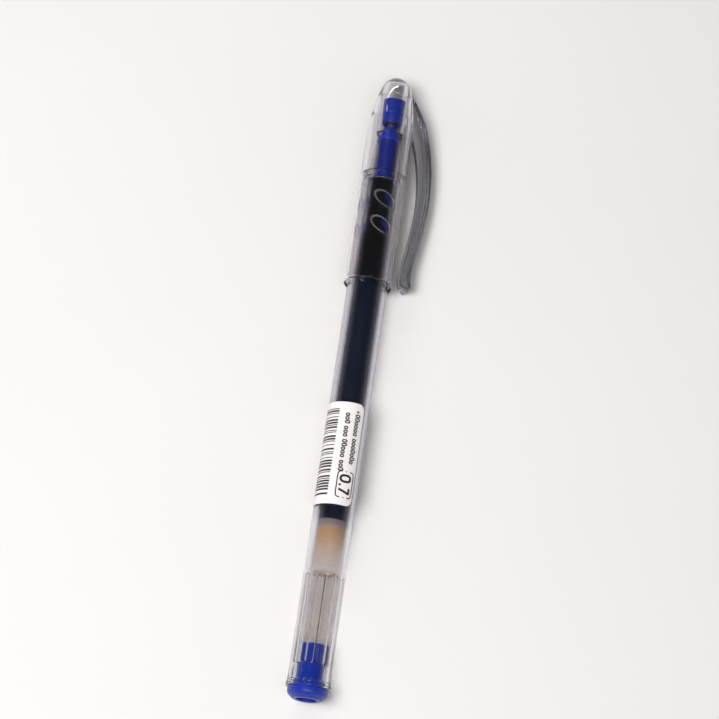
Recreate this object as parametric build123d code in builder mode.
from build123d import *
from math import cos, radians, sin
import os

# A capped stick gel pen, all sizes in millimetres.
# X is the pen's axis: x = 0 is the end face of the tail plug, and +X points to the tip.
# +Z is up. The pen lies on its side, and a turn about the axis is counted in degrees
# from the top (+Z) towards the side that the clip is on (-Y).

# Clearances
press_gap = 0.03         # plastic pushed into plastic
slip_gap = 0.05          # pieces that pass each other by hand
ball_gap = 0.025         # writing ball in its socket
cut_overrun = 1.0        # how far a cutting tool runs past the piece it cuts

# Barrel: clear tube, with a ring at the tail, a shoulder and a nose at the front
barrel_length = 120.7    # from the tail ring's end to the shoulder that the cap stops on
barrel_wall = 1.0        # the bore inside it follows from the ink tube and the ribs
ring_height = 0.25
ring_length = 1.1
groove_length = 0.3
groove_depth = 0.12
flare_length = 3.2       # the barrel is a little wider just behind the groove
flare_height = 0.1
shoulder_wall = 1.5      # thickness of the shoulder that stops the ink tube
shoulder_bevel = 0.3
nose_length = 8.8
nose_base_wall = 1.1
nose_tip_wall = 0.3
nose_step_along = 3.8    # a fine step part of the way along the nose
nose_step_height = 0.12
nose_bore_extra = 0.02   # nose bore over the ink tube's bore

# Centring ribs inside the tail of the barrel
rib_count = 10
rib_turn = -28.0         # turn of the first rib
rib_length = 24.7        # from the barrel's tail end
rib_width = 0.7
rib_height = 0.38
rib_gap = 0.07           # between the ribs and the ink tube

# Oval grip bumps and snap lugs on the barrel, under the cap
bump_columns = 3
bump_turn = 14.0         # turn of the first column
bump_rows_behind_shoulder = (7.2, 13.7)
bump_length = 6.8
bump_width = 3.6
bump_slant = 58.0        # between a bump's long axis and the pen's axis
bump_height = 0.2
lug_count = 3
lug_turn = 38.0          # turn of the first lug
lug_behind_shoulder = 2.7
lug_length = 1.8
lug_width = 0.5
lug_height = 0.2

# Tail plug
plug_dome = 2.4          # how far it stands out of the barrel
plug_rim_overlap = 0.8   # how far its rim covers the barrel's end
plug_face_width = 0.8    # flat face round the recess
plug_bulge = 0.2
plug_recess_radius = 2.3
plug_recess_depth = 4.0
plug_land_length = 1.5   # full-width land just inside the barrel
plug_shank_step = 0.2    # shank inside the ink tube's outer radius
plug_shank_length = 5.1  # from the barrel's tail end to the step that the tube meets
plug_spigot_length = 4.4
plug_spigot_bevel = 0.3

# Ink tube, ink and follower
tube_radius = 3.2
tube_wall = 0.62
follower_length = 11.5
empty_length = 16.0      # used-up length, from the plug's spigot to the follower

# Tip holder
holder_spigot_length = 13.4  # inside the ink tube
holder_land_length = 0.8     # spigot-wide lands at both ends of the nose bore
holder_neck_rear_radius = 1.75
holder_neck_front_radius = 2.1
holder_collar_step = 0.1     # collar inside the nose's end radius
holder_collar_rim = 0.4
holder_front_wall = 0.6      # round the metal tip
holder_collar_length = 3.5
holder_channel_radius = 0.8

# Metal tip and writing ball
tip_shank_radius = 1.1
tip_shank_length = 3.6
tip_shoulder_length = 0.35
tip_front_wall = 0.11        # round the ball
tip_cone_length = 2.35
tip_channel_radius = 0.3
ball_radius = 0.35           # a 0.7 mm ball
ball_lip = 0.14              # how far the rolled lip reaches past the ball's centre

# Cap shell
skirt_length = 27.55         # from the mouth to the inner step
seat_gap = 0.15              # between the barrel's shoulder and the cap's inner step
cap_wall = 0.58              # at the mouth
cap_draft = 0.15             # how much narrower the cap is where the dome begins
dome_length = 14.95          # from where the dome begins to the apex
dome_points = ((9.4, 0.48), (4.9, 1.3), (2.0, 2.3), (0.8, 3.3))    # back from the apex, in from the shell
mark_gap = 0.12              # cap bore over the bumps and lugs
front_bore_gap = 0.6         # front bore over the nose
mouth_bevel = 0.35
end_wall = 1.9
sleeve_wall = 0.6
sleeve_overlap = 2.8         # how far the sleeve's mouth is behind the inner cap
pocket_end = 5.6             # from the apex back to the blind end of the ring-shaped pocket
pocket_end_width = 0.2
pocket_taper = 5.4           # the pocket narrows over this length
well_step = 0.5              # the well ahead of the inner cap is this much narrower
well_taper = 0.3
well_length = 6.5            # from the apex back to the inner cap

# Inner cap and its rubber pad
inner_cap_collar_step = 0.23 # inner cap inside the tip holder's collar radius
inner_cap_step = 0.27        # how much narrower its rear half is
inner_cap_wide_length = 3.3
inner_cap_behind = 1.1       # gap ahead of the tip holder
inner_cap_end_wall = 2.8
inner_cap_bore_gap = 0.2     # bore over the metal tip
pad_gap = 0.29               # ahead of the ball
pad_thickness = 1.0

# Clip
clip_turn = 108.0            # turn of the clip: just below level, so that it meets the table
clip_width = 4.0
clip_edge_radius = 0.3
clip_root_back = 14.4        # from the apex back to where the arm starts to bend
# Edges of the bar: back from the apex, and above the mouth's radius
clip_outer_points = ((2.9, -2.6), (7.6, 1.1), (15.0, 4.3), (28.5, 6.2), (41.6, 4.9), (49.8, 3.75))
clip_inner_points = ((13.4, -0.3), (17.5, 1.75), (29.5, 3.45), (42.0, 2.5), (48.2, 1.75))
clip_foot_points = ((50.2, 1.25), (51.5, 1.75), (52.2, 3.1), (51.3, 3.75))
clip_buried_point = (3.6, -3.4)

# Label
label_length = 23.6
label_start = 40.0           # from the barrel's tail end
label_thickness = 0.07
label_turn_right = 45.0
label_turn_left = -152.0
label_gap = 0.01

# Places along the pen that follow from the sizes
barrel_tail = plug_dome
shoulder = barrel_tail + barrel_length
nose_end = shoulder + nose_length
bore_radius = tube_radius + rib_gap + rib_height
barrel_radius = bore_radius + barrel_wall
ring_radius = barrel_radius + ring_height
tube_bore_radius = tube_radius - tube_wall
nose_bore_radius = tube_bore_radius + nose_bore_extra
nose_base_radius = nose_bore_radius + nose_base_wall
nose_tip_radius = nose_bore_radius + nose_tip_wall
plug_rim_radius = bore_radius + plug_rim_overlap
plug_face_radius = plug_recess_radius + plug_face_width
plug_shank_radius = tube_radius - plug_shank_step
tube_stop = shoulder - shoulder_wall
plug_step = barrel_tail + plug_shank_length
spigot_radius = min(tube_bore_radius, nose_bore_radius) - slip_gap
spigot_rear = tube_stop - holder_spigot_length
follower_rear = plug_step + plug_spigot_length + empty_length
follower_front = follower_rear + follower_length
holder_collar_radius = nose_tip_radius - holder_collar_step
holder_front_radius = tip_shank_radius + holder_front_wall
tip_front_radius = ball_radius + tip_front_wall
holder_front = nose_end + holder_collar_length
tip_shoulder = holder_front + tip_shoulder_length
tip_end = tip_shoulder + tip_cone_length
ball_centre = tip_end - ball_lip
cap_step = shoulder + seat_gap
cap_mouth = cap_step - skirt_length
inner_cap_rear = holder_front + inner_cap_behind
pad_rear = ball_centre + ball_radius + pad_gap
pad_front = pad_rear + pad_thickness
inner_cap_front = pad_front + inner_cap_end_wall
cap_apex = inner_cap_front + well_length
cap_bore_radius = barrel_radius + max(bump_height, lug_height) + mark_gap
mouth_radius = cap_bore_radius + cap_wall
shell_radius = mouth_radius - cap_draft
front_bore_radius = nose_base_radius + front_bore_gap
inner_cap_radius = holder_collar_radius - inner_cap_collar_step
sleeve_bore_radius = inner_cap_radius + press_gap
sleeve_radius = sleeve_bore_radius + sleeve_wall
well_radius = sleeve_bore_radius - well_step
inner_cap_bore_radius = tip_shank_radius + inner_cap_bore_gap
clip_root = cap_apex - clip_root_back


def outward(turn):
    """Unit vector that points away from the pen's axis at this turn."""
    return Vector(0, -sin(radians(turn)), cos(radians(turn)))


def face_plane(x, turn, radius):
    """Plane that faces outward, its own x along the pen."""
    return Plane(Vector(x, 0, 0) + outward(turn) * radius, x_dir=(1, 0, 0), z_dir=outward(turn))


def side_plane(turn):
    """Plane through the pen's axis, its own y pointing outward at this turn."""
    return Plane((0, 0, 0), x_dir=(1, 0, 0), z_dir=Vector(1, 0, 0).cross(outward(turn)))


def turned(corners):
    """Closed outline of (x, radius) corners turned once round the pen's axis."""
    with BuildPart() as piece:
        with BuildSketch():
            with BuildLine():
                Polyline(*corners, close=True)
            make_face()
        revolve(axis=Axis.X)
    return piece.part


def raised_marks(x, turn, height, outline):
    """A mark of constant height that follows the barrel's surface."""
    with BuildPart() as mark:
        with BuildSketch(face_plane(x, turn, barrel_radius / 2)):
            outline()
        extrude(amount=barrel_radius)
        add(turned([
            (x - bump_length, barrel_radius - barrel_wall / 2),
            (x - bump_length, barrel_radius + height),
            (x + bump_length, barrel_radius + height),
            (x + bump_length, barrel_radius - barrel_wall / 2),
        ]), mode=Mode.INTERSECT)
    return mark.part


def clip_points(points):
    """Places in the clip's plane of points given from the apex and the mouth's radius."""
    return [(cap_apex - back, mouth_radius + above) for back, above in points]


def bump_outline():
    Ellipse(bump_length / 2, bump_width / 2, rotation=bump_slant)


def lug_outline():
    SlotOverall(lug_length, lug_width, rotation=bump_slant)


# Barrel
with BuildPart() as barrel:
    groove_front = barrel_tail + ring_length + groove_length
    add(turned([
        (barrel_tail, bore_radius),
        (barrel_tail, ring_radius),
        (barrel_tail + ring_length, ring_radius),
        (barrel_tail + ring_length, barrel_radius - groove_depth),
        (groove_front, barrel_radius - groove_depth),
        (groove_front, barrel_radius + flare_height),
        (groove_front + flare_length, barrel_radius),
        (shoulder - shoulder_bevel, barrel_radius),
        (shoulder, barrel_radius - shoulder_bevel),
        (shoulder, nose_base_radius),
        (shoulder + nose_step_along, nose_base_radius
         + (nose_tip_radius - nose_base_radius) * nose_step_along / nose_length),
        (shoulder + nose_step_along, nose_base_radius - nose_step_height
         + (nose_tip_radius - nose_base_radius) * nose_step_along / nose_length),
        (nose_end, nose_tip_radius),
        (nose_end, nose_bore_radius),
        (tube_stop, nose_bore_radius),
        (tube_stop, bore_radius),
    ]))
    for number in range(rib_count):
        rib_place = face_plane(
            barrel_tail + rib_length / 2, rib_turn + number * 360 / rib_count, bore_radius - rib_height
        )
        with BuildSketch(rib_place):
            Rectangle(rib_length, rib_width)
        extrude(amount=rib_height + barrel_wall / 2)
    with BuildSketch():
        Rectangle(plug_step, bore_radius, align=Align.MIN)
    revolve(axis=Axis.X, mode=Mode.SUBTRACT)
    for column in range(bump_columns):
        for behind in bump_rows_behind_shoulder:
            bump_at = bump_turn + column * 360 / bump_columns
            add(raised_marks(shoulder - behind, bump_at, bump_height, bump_outline))
    for number in range(lug_count):
        lug_at = lug_turn + number * 360 / lug_count
        add(raised_marks(shoulder - lug_behind_shoulder, lug_at, lug_height, lug_outline))
barrel.part.label = "barrel"

# Tail plug: domed head, land in the barrel, shank, and spigot in the ink tube
with BuildPart() as tail_plug:
    with BuildSketch():
        with BuildLine():
            head = Spline(
                (0, plug_face_radius),
                (plug_dome / 3, (plug_face_radius + plug_rim_radius) / 2 + plug_bulge),
                (plug_dome, plug_rim_radius),
                tangents=[(0, 1), (1, 0.15)],
            )
            Polyline(
                head @ 1,
                (plug_dome, bore_radius - press_gap),
                (barrel_tail + plug_land_length, bore_radius - press_gap),
                (barrel_tail + plug_land_length, plug_shank_radius),
                (plug_step, plug_shank_radius),
                (plug_step, tube_bore_radius - press_gap),
                (plug_step + plug_spigot_length - plug_spigot_bevel, tube_bore_radius - press_gap),
                (plug_step + plug_spigot_length, tube_bore_radius - press_gap - plug_spigot_bevel),
                (plug_step + plug_spigot_length, 0),
                (plug_recess_depth, 0),
                (plug_recess_depth, plug_recess_radius),
                (0, plug_recess_radius),
                head @ 0,
            )
        make_face()
    revolve(axis=Axis.X)
tail_plug.part.label = "tail_plug"

# Ink tube
with BuildPart() as refill_tube:
    add(turned([
        (plug_step, tube_bore_radius),
        (plug_step, tube_radius),
        (tube_stop, tube_radius),
        (tube_stop, tube_bore_radius),
    ]))
refill_tube.part.label = "refill_tube"

# Ink column
with BuildPart() as gel_ink:
    add(turned([
        (follower_front + slip_gap, 0),
        (follower_front + slip_gap, tube_bore_radius - press_gap),
        (spigot_rear, tube_bore_radius - press_gap),
        (spigot_rear, 0),
    ]))
gel_ink.part.label = "gel_ink"

# Follower grease behind the ink
with BuildPart() as ink_follower:
    add(turned([
        (follower_rear, 0),
        (follower_rear, tube_bore_radius - slip_gap),
        (follower_front, tube_bore_radius - slip_gap),
        (follower_front, 0),
    ]))
ink_follower.part.label = "ink_follower"

# Tip holder: goes in from the front, through the nose and into the ink tube
with BuildPart() as tip_holder:
    add(turned([
        (spigot_rear, holder_channel_radius),
        (spigot_rear, spigot_radius),
        (tube_stop + holder_land_length, spigot_radius),
        (tube_stop + holder_land_length, holder_neck_rear_radius),
        (nose_end - holder_land_length, holder_neck_front_radius),
        (nose_end - holder_land_length, spigot_radius),
        (nose_end, spigot_radius),
        (nose_end, holder_collar_radius),
        (nose_end + holder_collar_rim, holder_collar_radius),
        (holder_front, holder_front_radius),
        (holder_front, tip_shank_radius + press_gap),
        (holder_front - tip_shank_length, tip_shank_radius + press_gap),
        (holder_front - tip_shank_length, holder_channel_radius),
    ]))
tip_holder.part.label = "tip_holder"

# Metal tip: shank in the holder, shoulder, cone, and a socket rolled over the ball
with BuildPart() as tip_cone:
    add(turned([
        (holder_front - tip_shank_length, tip_channel_radius),
        (holder_front - tip_shank_length, tip_shank_radius),
        (tip_shoulder, tip_shank_radius),
        (tip_end, tip_front_radius),
        (tip_end, tip_channel_radius),
    ]))
    with BuildSketch():
        with BuildLine():
            socket_arc = CenterArc((ball_centre, 0), ball_radius + ball_gap, 0, 180)
            Line(socket_arc @ 0, socket_arc @ 1)
        make_face()
    revolve(axis=Axis.X, mode=Mode.SUBTRACT)
tip_cone.part.label = "tip_cone"

# Writing ball
with BuildPart() as writing_ball:
    with BuildSketch():
        with BuildLine():
            ball_arc = CenterArc((ball_centre, 0), ball_radius, 0, 180)
            Line(ball_arc @ 0, ball_arc @ 1)
        make_face()
    revolve(axis=Axis.X)
writing_ball.part.label = "writing_ball"

# Label: a paper strip that goes a little more than half-way round the barrel
with BuildPart() as label:
    label_inner = barrel_radius + label_gap
    with BuildSketch(side_plane(label_turn_left)):
        with Locations((barrel_tail + label_start + label_length / 2, label_inner + label_thickness / 2)):
            Rectangle(label_length, label_thickness)
    revolve(axis=Axis.X, revolution_arc=label_turn_right - label_turn_left)
label.part.label = "label"

# Clip: one bowed bar in the plane through the pen's axis
with BuildPart() as clip_bar:
    with BuildSketch(side_plane(clip_turn)):
        with BuildLine():
            outer_edge = Spline(*clip_points(clip_outer_points))
            inner_edge = Spline(*clip_points(clip_inner_points))
            foot = Spline(
                inner_edge @ 1,
                *clip_points(clip_foot_points),
                outer_edge @ 1,
                tangents=[inner_edge % 1, -(outer_edge % 1)],
            )
            Polyline(inner_edge @ 0, *clip_points([clip_buried_point]), outer_edge @ 0)
        make_face()
    extrude(amount=clip_width / 2, both=True)
    fillet(clip_bar.edges().filter_by(GeomType.BSPLINE), clip_edge_radius)

with BuildPart() as cap_clip:
    add(clip_bar.part)
    split(bisect_by=Plane.YZ.offset(clip_root), keep=Keep.BOTTOM)
cap_clip.part.label = "cap_clip"

with BuildPart() as clip_stub:
    add(clip_bar.part)
    split(bisect_by=Plane.YZ.offset(clip_root), keep=Keep.TOP)

# Cap shell: skirt and dome, the clip's root, and the inner sleeve that holds the inner cap
with BuildPart() as cap_shell:
    with BuildSketch():
        with BuildLine():
            dome = Spline(
                (cap_apex - dome_length, shell_radius),
                *[(cap_apex - back, shell_radius - inward) for back, inward in dome_points],
                (cap_apex, 0),
                tangents=[(1, -0.01), (0, -1)],
            )
            Polyline(
                dome @ 0,
                (cap_mouth + mouth_bevel, mouth_radius),
                (cap_mouth, mouth_radius - mouth_bevel / 2),
                (cap_mouth, 0),
                dome @ 1,
            )
        make_face()
    revolve(axis=Axis.X)
    add(clip_stub.part)
    add(turned([
        (cap_mouth - cut_overrun, 0),
        (cap_mouth - cut_overrun, cap_bore_radius + mouth_bevel / 2),
        (cap_mouth, cap_bore_radius + mouth_bevel / 2),
        (cap_mouth + mouth_bevel, cap_bore_radius),
        (cap_step, cap_bore_radius),
        (cap_step, front_bore_radius),
        (cap_apex - pocket_end - pocket_taper, front_bore_radius),
        (cap_apex - pocket_end, sleeve_radius + pocket_end_width),
        (cap_apex - pocket_end, sleeve_radius),
        (inner_cap_rear - sleeve_overlap, sleeve_radius),
        (inner_cap_rear - sleeve_overlap, sleeve_bore_radius),
        (inner_cap_front, sleeve_bore_radius),
        (inner_cap_front, well_radius),
        (cap_apex - end_wall, well_radius - well_taper),
        (cap_apex - end_wall, 0),
    ]), mode=Mode.SUBTRACT)
cap_shell.part.label = "cap_shell"

# Inner cap: stepped plug in the sleeve, with a blind bore over the tip
with BuildPart() as inner_cap:
    add(turned([
        (inner_cap_rear, inner_cap_bore_radius),
        (inner_cap_rear, inner_cap_radius - inner_cap_step),
        (inner_cap_front - inner_cap_wide_length, inner_cap_radius - inner_cap_step),
        (inner_cap_front - inner_cap_wide_length, inner_cap_radius),
        (inner_cap_front, inner_cap_radius),
        (inner_cap_front, 0),
        (pad_front, 0),
        (pad_front, inner_cap_bore_radius),
    ]))
inner_cap.part.label = "inner_cap"

# Rubber pad at the bottom of the inner cap's bore, which closes the ball
with BuildPart() as seal_pad:
    add(turned([
        (pad_rear, 0),
        (pad_rear, inner_cap_bore_radius - press_gap),
        (pad_front, inner_cap_bore_radius - press_gap),
        (pad_front, 0),
    ]))
seal_pad.part.label = "seal_pad"

os.makedirs("parts", exist_ok=True)
for piece in (
    barrel, tail_plug, refill_tube, gel_ink, ink_follower, tip_holder, tip_cone,
    writing_ball, label, cap_shell, cap_clip, inner_cap, seal_pad,
):
    export_step(piece.part, f"parts/{piece.part.label}.step")
